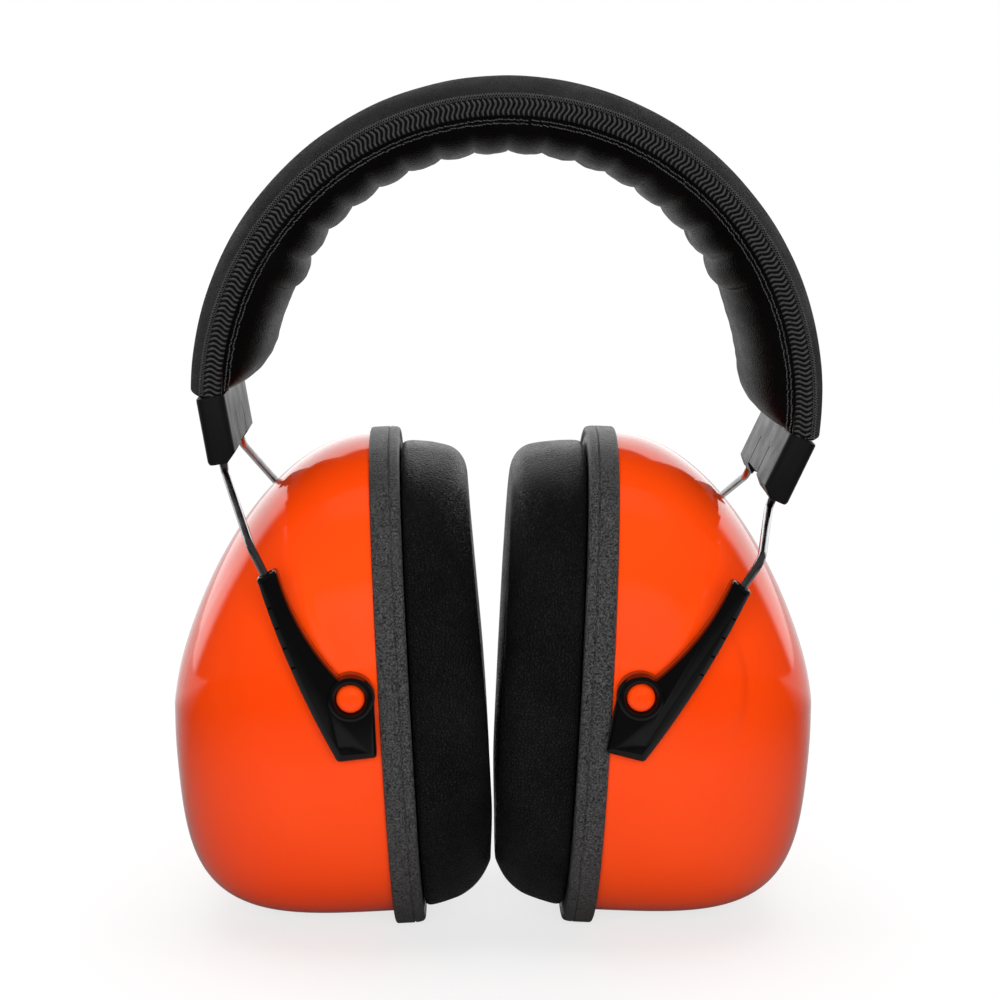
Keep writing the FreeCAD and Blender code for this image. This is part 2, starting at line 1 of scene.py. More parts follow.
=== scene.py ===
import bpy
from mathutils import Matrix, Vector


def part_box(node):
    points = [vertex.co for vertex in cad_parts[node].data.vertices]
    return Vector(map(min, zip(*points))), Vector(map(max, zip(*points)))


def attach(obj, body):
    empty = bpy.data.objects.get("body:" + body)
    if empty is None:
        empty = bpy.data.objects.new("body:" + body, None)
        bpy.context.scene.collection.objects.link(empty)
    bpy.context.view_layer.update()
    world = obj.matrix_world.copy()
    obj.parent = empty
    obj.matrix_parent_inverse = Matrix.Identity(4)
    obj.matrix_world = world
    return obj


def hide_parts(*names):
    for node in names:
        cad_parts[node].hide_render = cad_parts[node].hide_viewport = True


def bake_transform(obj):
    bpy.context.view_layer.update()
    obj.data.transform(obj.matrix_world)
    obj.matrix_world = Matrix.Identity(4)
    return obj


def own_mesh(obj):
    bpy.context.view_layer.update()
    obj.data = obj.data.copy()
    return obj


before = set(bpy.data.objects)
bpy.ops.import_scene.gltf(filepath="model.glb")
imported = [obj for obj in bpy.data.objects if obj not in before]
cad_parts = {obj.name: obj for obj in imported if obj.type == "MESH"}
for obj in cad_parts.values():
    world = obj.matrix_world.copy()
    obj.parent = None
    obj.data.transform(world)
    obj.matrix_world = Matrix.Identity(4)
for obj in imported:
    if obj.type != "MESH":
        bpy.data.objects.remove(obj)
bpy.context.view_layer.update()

import math
import random

import bmesh
import bpy
from mathutils import Matrix, Vector, noise

# Earmuff hearing protector. Sizes below are millimetres; meshes are stored in metres.
# Cup frame: x outward from the pivot axis, z up in the plane of the base plate.
# Arm frame: across (outward) and along (up the wire), from the pivot.
# Band frame: angle about the arch's centre from +X, radius, and y.

MM = 0.001
SIDES = {"left": -1, "right": 1}
FACINGS = {"front": -1, "rear": 1}
random.seed(4)


# ---------------------------------------------------------------- sizes from the frame
def centre_mm(node):
    low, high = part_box(node)
    return (low + high) / 2 / MM


CUP_TILT = math.radians(2.83)
OVAL_POWER = 2.3
WIDEST_DROP = 8.1
PIVOT = {}
for side in SIDES:
    middle = centre_mm(side + "_front_pivot_pin")
    PIVOT[side] = Vector((middle.x, 0, middle.z))

ARM_LEAN = {"left": math.radians(25.8), "right": math.radians(34.2)}
CLIP_LEAN = {"left": math.radians(9.5), "right": math.radians(25.0)}
ARCH_X, ARCH_Z = 2.6, 127.2
BAND_MIDDLE = 85.8
BAND_HALF_SWEEP = 91.3
WIRE_ARCH_RADIUS = 67.6
WIRE_RADIUS = 1.0
WIRE_BAND_Y = 23.6
CLIP_GAP = 1.5
CLIP_HEIGHT = 15.2


# ---------------------------------------------------------------- mesh helpers
def add_piece(name, points, faces, material, sharp=40, scale=MM):
    """A mesh piece from points in millimetres, smooth but for edges sharper than given."""
    mesh = bpy.data.meshes.new(name)
    mesh.from_pydata([Vector(point) * scale for point in points], [], faces)
    mesh.materials.append(material)
    finish_mesh(mesh, sharp)
    piece = bpy.data.objects.new(name, mesh)
    bpy.context.scene.collection.objects.link(piece)
    return piece


def finish_mesh(mesh, sharp=40):
    """Turns every face outwards and shades the mesh smooth between its sharp edges."""
    work = bmesh.new()
    work.from_mesh(mesh)
    bmesh.ops.recalc_face_normals(work, faces=work.faces)
    work.to_mesh(mesh)
    work.free()
    mesh.shade_smooth()
    mesh.set_sharp_from_angle(angle=math.radians(sharp))


def make_blank(name, rings, material):
    """A piece still in millimetres about its own origin, for carve and then settle."""
    points, faces = skin(rings)
    return add_piece(name, points, faces, material, scale=1)


def skin(rings, wrap=False, first_cap=True, last_cap=True):
    """Faces over closed rings of equal length; wrap joins the last ring to the first."""
    count = len(rings[0])
    points = [point for ring in rings for point in ring]
    faces = []
    steps = len(rings) if wrap else len(rings) - 1
    for ring in range(steps):
        here, there = ring * count, (ring + 1) % len(rings) * count
        for index in range(count):
            after = (index + 1) % count
            faces.append((here + index, here + after, there + after, there + index))
    if not wrap and first_cap:
        faces.append(tuple(reversed(range(count))))
    if not wrap and last_cap:
        faces.append(tuple(range(len(points) - count, len(points))))
    return points, faces


def lathe(profile, segments=64):
    """Rings of (radius, height) points turned about the height axis; the ends are capped."""
    rings = []
    for radius, height in profile:
        ring = []
        for step in range(segments):
            angle = 2 * math.pi * step / segments
            ring.append((radius * math.cos(angle), radius * math.sin(angle), height))
        rings.append(ring)
    return rings


def offset_outline(outline, distances):
    """Moves each corner of a counter-clockwise outline inwards by its own distance."""
    moved = []
    count = len(outline)
    for index, (x, y) in enumerate(outline):
        before, after = outline[index - 1], outline[(index + 1) % count]
        first = Vector((x - before[0], y - before[1])).normalized()
        second = Vector((after[0] - x, after[1] - y)).normalized()
        inward = Vector((-first.y - second.y, first.x + second.x))
        scale = distances[index] / max(0.35, 1 + first.dot(second))
        moved.append((x + inward.x * scale, y + inward.y * scale))
    return moved


def round_corners(outline, radii):
    """The outline with an arc of five points at each corner that has a radius."""
    made = []
    count = len(outline)
    for index, (point, radius) in enumerate(zip(outline, radii)):
        if not radius:
            made.append(tuple(point))
            continue
        corner = Vector(point)
        back = (Vector(outline[index - 1]) - corner).normalized()
        ahead = (Vector(outline[(index + 1) % count]) - corner).normalized()
        half = back.angle(ahead) / 2
        centre = corner + (back + ahead).normalized() * (radius / math.sin(half))
        first = corner + back * (radius / math.tan(half)) - centre
        last = corner + ahead * (radius / math.tan(half)) - centre
        for step in range(5):
            spoke = (first * (4 - step) + last * step).normalized() * radius
            made.append(tuple(centre + spoke))
    return made


def prism(outline, levels, weights=None, radii=None):
    """Rings of a plate: levels are (inset, height), weights scale the inset at each corner."""
    weights = weights or [1.0] * len(outline)
    radii = radii or [0] * len(outline)
    rings = []
    for inset, height in levels:
        flat = offset_outline(outline, [inset * weight for weight in weights])
        left = [radius and max(0.25, radius - inset * weight)
                for radius, weight in zip(radii, weights)]
        rings.append([(x, y, height) for x, y in round_corners(flat, left)])
    return rings


def arc_through(start, middle, end, steps):
    """Points on the circle through three points, without the last one."""
    (ax, ay), (bx, by), (cx, cy) = start, middle, end
    twice = 2 * (ax * (by - cy) + bx * (cy - ay) + cx * (ay - by))
    squares = [x * x + y * y for x, y in (start, middle, end)]
    ux = (squares[0] * (by - cy) + squares[1] * (cy - ay) + squares[2] * (ay - by)) / twice
    uy = (squares[0] * (cx - bx) + squares[1] * (ax - cx) + squares[2] * (bx - ax)) / twice
    radius = math.hypot(ax - ux, ay - uy)
    first = math.atan2(ay - uy, ax - ux)
    mid = (math.atan2(by - uy, bx - ux) - first + math.pi) % (2 * math.pi) - math.pi
    last = (math.atan2(cy - uy, cx - ux) - first + math.pi) % (2 * math.pi) - math.pi
    if mid * last < 0:
        last -= math.copysign(2 * math.pi, last)
    points = []
    for step in range(steps):
        angle = first + last * step / steps
        points.append((ux + radius * math.cos(angle), uy + radius * math.sin(angle)))
    return points


def rounded_path(corners):
    """Points along straight runs whose corners are rounded; corners are (point, radius)."""
    points = [corners[0][0]]
    for (before, _), (corner, radius), (after, _) in zip(corners, corners[1:], corners[2:]):
        back = (before - corner).normalized()
        ahead = (after - corner).normalized()
        half = back.angle(ahead) / 2
        cut = radius / math.tan(half)
        centre = corner + (back + ahead).normalized() * (radius / math.sin(half))
        first, last = corner + back * cut - centre, corner + ahead * cut - centre
        for step in range(9):
            spoke = (first * (8 - step) + last * step).normalized()
            points.append(centre + spoke * radius)
    points.append(corners[-1][0])
    return points


def tube(path, radius, segments=16):
    """Rings of a round tube along a path."""
    rings = []
    side = None
    for index, point in enumerate(path):
        before = path[max(index - 1, 0)]
        after = path[min(index + 1, len(path) - 1)]
        along = (after - before).normalized()
        if side is None:
            side = along.orthogonal().normalized()
        side = (side - along * side.dot(along)).normalized()
        other = along.cross(side)
        ring = []
        for step in range(segments):
            angle = 2 * math.pi * step / segments
            ring.append(point + (side * math.cos(angle) + other * math.sin(angle)) * radius)
        rings.append(ring)
    return rings


def carve(piece, cutters, operation="DIFFERENCE"):
    """Applies a boolean with each cutter and removes the cutters."""
    for cutter in cutters:
        change = piece.modifiers.new("carve", "BOOLEAN")
        change.operation = operation
        change.solver = "EXACT"
        change.object = cutter
    apply_modifiers(piece)
    for cutter in cutters:
        bpy.data.objects.remove(cutter)


def apply_modifiers(piece):
    graph = bpy.context.evaluated_depsgraph_get()
    made = bpy.data.meshes.new_from_object(piece.evaluated_get(graph))
    old = piece.data
    piece.modifiers.clear()
    piece.data = made
    bpy.data.meshes.remove(old)


def settle(piece, matrix, sharp=35):
    """Moves a blank to its place in the row frame, in metres."""
    piece.data.transform(Matrix.Scale(MM, 4) @ matrix)
    finish_mesh(piece.data, sharp)


def place(rings, matrix):
    """Rings moved by a matrix that works in millimetres."""
    return [[matrix @ Vector(point) for point in ring] for ring in rings]


def smooth_step(value, low, high):
    share = min(1.0, max(0.0, (value - low) / (high - low)))
    return share * share * (3 - 2 * share)


# ---------------------------------------------------------------- materials
def new_material(name, colour, roughness, metallic=0.0, coat=0.0, specular=0.5):
    """A material with its principled shader; colours are linear."""
    material = bpy.data.materials.new(name)
    material.use_nodes = True
    shader = material.node_tree.nodes["Principled BSDF"]
    shader.inputs["Base Color"].default_value = (*colour, 1)
    shader.inputs["Roughness"].default_value = roughness
    shader.inputs["Metallic"].default_value = metallic
    shader.inputs["Coat Weight"].default_value = coat
    shader.inputs["Specular IOR Level"].default_value = specular
    return material, shader


def texture_node(material, kind, scale, **settings):
    """A procedural texture in object coordinates; scale is cells per metre."""
    nodes, links = material.node_tree.nodes, material.node_tree.links
    place_node = nodes.new("ShaderNodeTexCoord")
    made = nodes.new(kind)
    made.inputs["Scale"].default_value = scale
    for name, value in settings.items():
        made.inputs[name.replace("_", " ")].default_value = value
    links.new(place_node.outputs["Object"], made.inputs["Vector"])
    return made


def ramp_node(material, source, stops):
    nodes, links = material.node_tree.nodes, material.node_tree.links
    ramp = nodes.new("ShaderNodeValToRGB")
    while len(ramp.color_ramp.elements) < len(stops):
        ramp.color_ramp.elements.new(0.5)
    for element, (position, colour) in zip(ramp.color_ramp.elements, stops):
        element.position = position
        element.color = (*colour, 1)
    links.new(source, ramp.inputs["Fac"])
    return ramp.outputs["Color"]


def grey(value):
    return (value, value, value)


def add_bump(material, shader, heights, distance):
    """Bump from the sum of weighted height outputs; distance is in metres."""
    nodes, links = material.node_tree.nodes, material.node_tree.links
    total = None
    for output, weight in heights:
        scaled = nodes.new("ShaderNodeMath")
        scaled.operation = "MULTIPLY"
        scaled.inputs[1].default_value = weight
        links.new(output, scaled.inputs[0])
        if total is None:
            total = scaled.outputs[0]
        else:
            joined = nodes.new("ShaderNodeMath")
            links.new(total, joined.inputs[0])
            links.new(scaled.outputs[0], joined.inputs[1])
            total = joined.outputs[0]
    bump = nodes.new("ShaderNodeBump")
    bump.inputs["Strength"].default_value = 1.0
    bump.inputs["Distance"].default_value = distance
    links.new(total, bump.inputs["Height"])
    links.new(bump.outputs["Normal"], shader.inputs["Normal"])


def orange_gloss():
    """Injection-moulded gloss plastic: faint flow waves and handling marks."""
    material, shader = new_material("orange_gloss_plastic", (0.95, 0.060, 0.003), 0.09)
    links = material.node_tree.links
    flow = texture_node(material, "ShaderNodeTexNoise", 22, Detail=2)
    tint = ramp_node(
        material, flow.outputs["Fac"], [(0.3, (0.93, 0.055, 0.002)), (0.7, (0.97, 0.068, 0.004))]
    )
    links.new(tint, shader.inputs["Base Color"])
    marks = texture_node(material, "ShaderNodeTexNoise", 160, Detail=6, Roughness=0.7)
    rough = ramp_node(material, marks.outputs["Fac"], [(0.35, grey(0.07)), (0.75, grey(0.13))])
    links.new(rough, shader.inputs["Roughness"])
    waves = texture_node(material, "ShaderNodeTexNoise", 60, Detail=1)
    add_bump(material, shader, [(waves.outputs["Fac"], 1.0)], 0.00004)
    return material


def black_gloss():
    """Glossy black moulding with faint marks and ripples."""
    material, shader = new_material("black_gloss_plastic", grey(0.002), 0.10)
    links = material.node_tree.links
    marks = texture_node(material, "ShaderNodeTexNoise", 240, Detail=6, Roughness=0.7)
    rough = ramp_node(material, marks.outputs["Fac"], [(0.3, grey(0.08)), (0.75, grey(0.17))])
    links.new(rough, shader.inputs["Roughness"])
    waves = texture_node(material, "ShaderNodeTexNoise", 120, Detail=2)
    add_bump(material, shader, [(waves.outputs["Fac"], 1.0)], 0.00005)
    return material


def black_satin(name, tone, roughness):
    """Satin moulding with a soft eroded texture."""
    material, shader = new_material(name, grey(tone), roughness, specular=0.09)
    links = material.node_tree.links
    fine = texture_node(material, "ShaderNodeTexNoise", 2600, Detail=3)
    broad = texture_node(material, "ShaderNodeTexNoise", 150, Detail=3)
    rough = ramp_node(
        material,
        broad.outputs["Fac"],
        [(0.3, grey(roughness - 0.07)), (0.7, grey(roughness + 0.07))],
    )
    links.new(rough, shader.inputs["Roughness"])
    add_bump(material, shader, [(fine.outputs["Fac"], 1.0)], 0.00006)
    return material


def grained_plastic():
    """Coarse spark-eroded grain on the base plates; its raised points are painted lighter, partly
    the plastic's own speckle and partly painted sheen.
    """
    material, shader = new_material("grained_plastic", grey(0.008), 0.42)
    links = material.node_tree.links
    grain = texture_node(material, "ShaderNodeTexNoise", 2300, Detail=2, Roughness=0.6)
    pits = texture_node(material, "ShaderNodeTexVoronoi", 2600)
    # Lighter on the grain's raised points and darker in its hollows: partly the plastic's own
    # speckle, partly painted sheen and shade.
    tint = ramp_node(material, grain.outputs["Fac"], [(0.35, grey(0.008)), (0.7, grey(0.09))])
    links.new(tint, shader.inputs["Base Color"])
    broad = texture_node(material, "ShaderNodeTexNoise", 90, Detail=3)
    rough = ramp_node(material, broad.outputs["Fac"], [(0.3, grey(0.36)), (0.7, grey(0.48))])
    links.new(rough, shader.inputs["Roughness"])
    add_bump(
        material, shader, [(grain.outputs["Fac"], 1.0), (pits.outputs["Distance"], 0.5)], 0.00035
    )
    return material


def soft_leather(name, tone, roughness, grain_scale, depth, specular):
    """Artificial leather: creased cells, finer pores, slow changes of sheen."""
    material, shader = new_material(name, grey(tone), roughness, specular=specular)
    links = material.node_tree.links
    warp = texture_node(material, "ShaderNodeTexNoise", grain_scale * 0.4, Detail=2)
    cells = texture_node(material, "ShaderNodeTexVoronoi", grain_scale)
    cells.feature = "DISTANCE_TO_EDGE"
    nodes = material.node_tree.nodes
    mix = nodes.new("ShaderNodeVectorMath")
    mix.operation = "MULTIPLY_ADD"
    mix.inputs[1].default_value = (0.6 / grain_scale,) * 3
    links.new(warp.outputs["Color"], mix.inputs[0])
    coordinates = nodes.new("ShaderNodeTexCoord")
    links.new(coordinates.outputs["Object"], mix.inputs[2])
    links.new(mix.outputs[0], cells.inputs["Vector"])
    creases = ramp_node(material, cells.outputs["Distance"], [(0.0, grey(0.0)), (0.22, grey(1.0))])
    pores = texture_node(material, "ShaderNodeTexNoise", grain_scale * 3, Detail=3)
    broad = texture_node(material, "ShaderNodeTexNoise", 70, Detail=4)
    tint = ramp_node(
        material, broad.outputs["Fac"], [(0.3, grey(tone * 0.75)), (0.7, grey(tone * 1.3))]
    )
    links.new(tint, shader.inputs["Base Color"])
    rough = ramp_node(
        material,
        broad.outputs["Fac"],
        [(0.3, grey(roughness - 0.06)), (0.7, grey(roughness + 0.08))],
    )
    links.new(rough, shader.inputs["Roughness"])
    add_bump(material, shader, [(creases, 1.0), (pores.outputs["Fac"], 0.6)], depth)
    return material


def woven_thread(name, tone):
    """Matt yarn, mottled by its fibres."""
    material, shader = new_material(name, grey(tone), 0.55)
    shader.inputs["Sheen Weight"].default_value = 0.08
    links = material.node_tree.links
    fibres = texture_node(material, "ShaderNodeTexNoise", 5200, Detail=3)
    tint = ramp_node(
        material, fibres.outputs["Fac"], [(0.3, grey(tone * 0.55)), (0.7, grey(tone * 1.5))]
    )
    links.new(tint, shader.inputs["Base Color"])
    add_bump(material, shader, [(fibres.outputs["Fac"], 1.0)], 0.00012)
    return material


def spring_steel():
    """Drawn wire: bright metal with a little uneven polish and tone."""
    material, shader = new_material("spring_steel", (0.50, 0.50, 0.51), 0.24, metallic=1.0)
    links = material.node_tree.links
    broad = texture_node(material, "ShaderNodeTexNoise", 260, Detail=5)
    rough = ramp_node(material, broad.outputs["Fac"], [(0.3, grey(0.17)), (0.7, grey(0.34))])
    links.new(rough, shader.inputs["Roughness"])
    tint = ramp_node(
        material, broad.outputs["Fac"], [(0.3, (0.40, 0.40, 0.41)), (0.7, (0.60, 0.60, 0.61))]
    )
    links.new(tint, shader.inputs["Base Color"])
    return material


def open_foam():
    """Dark foam with open cells, painted darker in the pit at each cell's middle as painted shade.
    """
    material, shader = new_material("open_foam", grey(0.05), 0.95)
    links = material.node_tree.links
    cells = texture_node(material, "ShaderNodeTexVoronoi", 1500)
    # Painted shade: the tone is darkest where the bump sinks into each cell's pit.
    tint = ramp_node(material, cells.outputs["Distance"], [(0.1, grey(0.02)), (0.6, grey(0.09))])
    links.new(tint, shader.inputs["Base Color"])
    add_bump(material, shader, [(cells.outputs["Distance"], 1.0)], 0.0005)
    return material


ORANGE = orange_gloss()
GLOSS = black_gloss()
CLIP_PLASTIC = black_satin("clip_plastic", 0.007, 0.36)
GRAINED = grained_plastic()
CUSHION_SKIN = soft_leather("cushion_leather", 0.0085, 0.36, 1300, 0.00060, 0.36)
COVER_SKIN = soft_leather("cover_leather", 0.0045, 0.60, 1500, 0.00030, 0.03)
PAD_SKIN = soft_leather("pad_leather", 0.002, 0.36, 1500, 0.00008, 0.05)
RIB_THREAD = woven_thread("rib_thread", 0.05)
TAPE_GROUND = woven_thread("tape_ground", 0.0015)
STEEL = spring_steel()
FOAM = open_foam()


# ---------------------------------------------------------------- cups
def cup_matrix(side):
    turn = Matrix.Rotation(SIDES[side] * CUP_TILT, 4, "Y")
    if side == "left":
        turn = turn @ Matrix.Rotation(math.pi, 4, "Z")
    return Matrix.Translation(PIVOT[side]) @ turn


def oval(half_width, top, bottom, angle):
    """A point (across, up) of the egg-shaped outline."""
    power = 2 / OVAL_POWER
    across, up = math.cos(angle), math.sin(angle)
    reach = top if up > 0 else bottom
    return (
        half_width * math.copysign(abs(across) ** power, across),
        reach * math.copysign(abs(up) ** power, up) - WIDEST_DROP,
    )


def even_angles(count):
    """Angles that put points of the outline at even distances."""
    fine = [2 * math.pi * step / 4000 for step in range(4001)]
    points = [Vector(oval(44, 62.2, 57.2, angle)) for angle in fine]
    lengths = [0.0]
    for first, second in zip(points, points[1:]):
        lengths.append(lengths[-1] + (second - first).length)
    angles = []
    index = 0
    for step in range(count):
        wanted = lengths[-1] * step / count
        while lengths[index + 1] < wanted:
            index += 1
        angles.append(fine[index])
    return angles


OUTLINE_ANGLES = even_angles(240)


def plate_point(inset, angle):
    return oval(44 - inset, 62.2 - inset, 57.2 - inset, angle)


def raised_pad(x, z, facing):
    """Height of the shallow raised land under the arm, on the shell's front or rear."""
    turn = 0.0 if facing > 0 else math.radians(8.5)
    across = x * math.cos(turn) - z * math.sin(turn)
    along = x * math.sin(turn) + z * math.cos(turn)
    reach = max(0.0, along - 6.0)
    edge = 1.2 + 9.8 * (1 - math.exp(-reach / 10.5))
    beside = smooth_step(across - edge, -0.8, 0.3) * smooth_step(along, -14, 6)
    beyond = 1 - smooth_step(math.hypot(x, z), 23.4, 25.2 if facing < 0 else 34)
    high = 1 - smooth_step(along, 22, 34)
    strip = smooth_step(z + 0.2 * x, -5.8, -5.0) * (1 - smooth_step(z + 0.17 * x, 7.2, 7.9))
    strip *= 1 - smooth_step(x, 3, 8)
    return max(beside * max(beyond, 0.0 if facing < 0 else 0.4) * high, strip)


def make_dome(side):
    """Glossy shell: an egg-shaped dome with a shallow land moulded under each arm."""
    ring_count = 90
    rings = []
    for ring_index in range(ring_count):
        share = math.sin(math.radians(89.2) * ring_index / (ring_count - 1))
        half_width = 42.3 * (1 - share**2.8) ** (1 / 2.8)
        top = 61.0 * (1 - share**1.98) ** (1 / 1.32)
        bottom = 54.0 * (1 - share**3.82) ** (1 / 4.72)
        x = -6.0 + 50.3 * share
        ring = []
        for angle in OUTLINE_ANGLES:
            y, z = oval(half_width, top, bottom, angle)
            if abs(y) > 22:
                facing = math.copysign(1, y)
                y += facing * 0.6 * raised_pad(x, z, facing)
            rounding = 0.45 * share**12 * math.exp(-(((z + WIDEST_DROP - 2.5) / 7) ** 2))
            ring.append((x - rounding, y, z))
        rings.append(ring)
    points, faces = skin(place(rings, cup_matrix(side)))
    piece = add_piece(side + "_dome", points, faces, ORANGE)
    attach(piece, side + "_cup")
    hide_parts(side + "_cup_shell")


PLATE_PROFILE = (
    # x, inset: the broad band, a fine groove, the narrow band and its rolled lip
    (-6.0, 1.9), (-6.0, 0.55), (-6.15, 0.2), (-6.5, 0.0), (-8.5, 0.0), (-10.35, 0.0),
    (-10.5, 0.25), (-10.65, 0.25), (-10.8, 0.02), (-11.8, 0.12), (-12.5, 0.3), (-12.85, 0.6),
    (-13.0, 1.05), (-12.9, 1.5), (-12.5, 1.8), (-12.4, 2.6), (-12.8, 3.4), (-12.8, 20.5),
    (-12.6, 21.6), (-12.0, 22.0), (-7.0, 22.0), (-6.2, 21.6), (-6.0, 20.5),
)


def foot_limit(x):
    """The plate's foot is flat, with its two long edges slightly rounded."""
    return -64.6 + 0.35 * smooth_step(abs(x + 9.5), 2.9, 3.5)


def make_plate(side):
    """Oval base plate with a groove round its edge and a flat foot."""
    rings = []
    for angle in OUTLINE_ANGLES:
        ring = []
        for x, inset in PLATE_PROFILE:
            y, z = plate_point(inset, angle)
            ring.append((x, y, max(z, foot_limit(x)) if inset < 3 else z))
        rings.append(ring)
    points, faces = skin(place(rings, cup_matrix(side)), wrap=True)
    piece = add_piece(side + "_plate", points, faces, GRAINED, sharp=32)
    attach(piece, side + "_cup")
    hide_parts(side + "_base_plate")


CUSHION_PROFILE = (
    # x, inset from the plate's edge, extra inset at the bottom
    (-13.2, 5.0, 0.0), (-13.5, 4.2, 0.1), (-14.3, 3.7, 0.3), (-16.0, 3.6, 0.6),
    (-18.5, 3.9, 1.0), (-21.0, 4.35, 1.5), (-23.0, 4.95, 2.2), (-24.8, 5.8, 3.0),
    (-26.2, 7.0, 3.6), (-27.2, 8.6, 3.7), (-27.75, 10.4, 3.0), (-27.95, 12.4, 1.8),
    (-27.9, 14.6, 0.8), (-27.4, 16.9, 0.2), (-26.4, 19.0, 0.0), (-24.9, 20.6, 0.0),
    (-22.8, 21.6, 0.0), (-20.2, 22.1, 0.0), (-17.4, 22.1, 0.0), (-14.8, 21.6, 0.0),
    (-13.4, 20.6, 0.0), (-13.1, 18.5, 0.0), (-13.1, 8.0, 0.0),
)


def smooth_profile(profile, steps):
    """Closed Catmull-Rom curve through the profile's rows."""
    count = len(profile)
    made = []
    for index in range(count):
        rows = [profile[(index + shift) % count] for shift in (-1, 0, 1, 2)]
        for step in range(steps):
            share = step / steps
            row = []
            for before, start, end, after in zip(*rows):
                row.append(
                    0.5
                    * (
                        2 * start
                        + (end - before) * share
                        + (2 * before - 5 * start + 4 * end - after) * share**2
                        + (3 * start - before - 3 * end + after) * share**3
                    )
                )
            made.append(tuple(row))
    return made


def cushion_reach(side, z):
    """How far the soft ring swells towards the other one: most of it just below the middle."""
    foot = smooth_step(-z, 30, 52)
    if side == "left":
        return 0.5 + 1.8 * smooth_step(-z, -45, 22) - 1.0 * foot
    return 2.5 - 0.9 * foot


def make_cushion(side):
    """Soft ring round the ear, full at its back and rolled over at its face."""
    rings = []
    profile = smooth_profile(CUSHION_PROFILE, 3)
    for angle in OUTLINE_ANGLES:
        low = smooth_step(-math.sin(angle), 0.0, 1.0)
        ring = []
        for x, inset, extra in profile:
            y, z = plate_point(inset + extra * low, angle)
            reach = cushion_reach(side, z) * (1 - smooth_step(x, -26, -14))
            place_now = Vector((x - reach, y, z))
            swell = noise.noise(place_now * 0.055 + Vector((SIDES[side] * 7, 0, 0)))
            crease = noise.noise(Vector((x * 0.35, y * 0.12, z * 0.12)))
            soft = 0.28 * swell + 0.10 * crease
            pull = smooth_step(inset, 4.4, 6.0) * (1 - smooth_step(inset, 20, 21.5))
            outward = Vector((0, y, z + WIDEST_DROP)).normalized()
            if inset > 15:
                outward = -outward
            ring.append(place_now + outward * soft - Vector((0.12 * soft * pull, 0, 0)))
        rings.append(ring)
    points, faces = skin(place(rings, cup_matrix(side)), wrap=True)
    piece = add_piece(side + "_ear_cushion_skin", points, faces, CUSHION_SKIN, sharp=70)
    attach(piece, side + "_cup")
    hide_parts(side + "_ear_cushion", side + "_cushion_foam", side + "_cushion_ring")
    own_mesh(piece)


def make_damping_foam(side):
    """Foam block in the shell that swells a little into the ear opening."""
    rings = []
    for x, inset in ((12, 17), (13, 15), (-5, 14), (-5.9, 14.8), (-6.0, 21.5), (-6.6, 23),
                     (-7.8, 26), (-8.6, 30), (-8.9, 34), (-9.0, 38), (-9.0, 41)):
        ring = []
        for angle in OUTLINE_ANGLES:
            y, z = plate_point(inset, angle)
            dimple = 0.5 * noise.noise(Vector((y, z, 0)) * 0.13) if inset > 22 else 0.0
            ring.append((x + dimple, y, z))
        rings.append(ring)
    points, faces = skin(place(rings, cup_matrix(side)))
    piece = add_piece(side + "_damping_foam", points, faces, FOAM)
    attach(piece, side + "_cup")
    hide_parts(side + "_absorber_foam")


PIN_PROFILE = (
    (3.2, 43.0), (3.2, 47.0), (3.12, 47.4), (2.9, 47.75), (2.5, 48.05), (1.9, 48.25),
    (1.1, 48.38), (0.3, 48.42),
)


def facing_matrix(side, facing, lean):
    """Maps (across, along, depth) to the row frame; depth grows away from the cup."""
    out = SIDES[side]
    across = Vector((out * math.cos(lean), 0, -math.sin(lean)))
    along = Vector((out * math.sin(lean), 0, math.cos(lean)))
    depth = Vector((0, FACINGS[facing], 0))
    turn = Matrix((across, along, depth)).transposed().to_4x4()
    return Matrix.Translation(PIVOT[side]) @ turn


def make_pin(side, facing):
    """Snap pin: a turned head that sits in the arm's collar."""
    rings = place(lathe(PIN_PROFILE), facing_matrix(side, facing, CUP_TILT))
    points, faces = skin(rings)
    piece = add_piece(f"{side}_{facing}_pin", points, faces, ORANGE)
    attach(piece, side + "_cup")
    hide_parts(f"{side}_{facing}_pivot_pin")


# ---------------------------------------------------------------- arms
# The lever's outboard edge is an arc; its notches are counted from the upper end.
LEVER_EDGE_CENTRE = (-217.43, -0.9)
LEVER_EDGE_RADIUS = 226.84
NOTCH_COUNT = 4
TOP_NOTCH = 26.3
NOTCH_PITCH = 4.8


def arm_corners():
    """Corners of an arm's outline, counter-clockwise, (across, along), and their radii."""
    corners = [(1.9, 33.4)]
    corners += arc_through((1.95, 32.0), (2.85, 19.5), (0.55, 5.4), 26)
    corners += arc_through((0.4, 5.39), (-4.97, 2.1), (-4.13, -3.48), 26)
    corners.append((-4.13, -3.48))
    toe = len(corners)
    corners += [(0.75, -14.82), (9.2, -11.85)]
    corners += arc_through((9.2, -10.2), (8.85, 15), (6.9, 31.8), 44)
    corners += [(6.9, 31.8), (6.8, 33.4)]
    radii = [0.0] * len(corners)
    radii[0] = radii[-1] = 0.7
    radii[toe], radii[toe + 1] = 0.9, 1.1
    return corners, radii


def bevel_weight(across, along):
    """The bevel is broad outboard and along the foot, and fine inboard."""
    broad = smooth_step(across, 3.2, 5.5) * (1 - 0.55 * smooth_step(along, 26, 33))
    foot = 1 - smooth_step(along, -13.8, -11)
    return 0.35 + 0.9 * max(broad, 0.75 * foot)


def straight_cut(corners, low, high):
    """Rings of a straight-sided cutter between two depths."""
    return [[(x, y, depth) for x, y in corners] for depth in (low, high)]


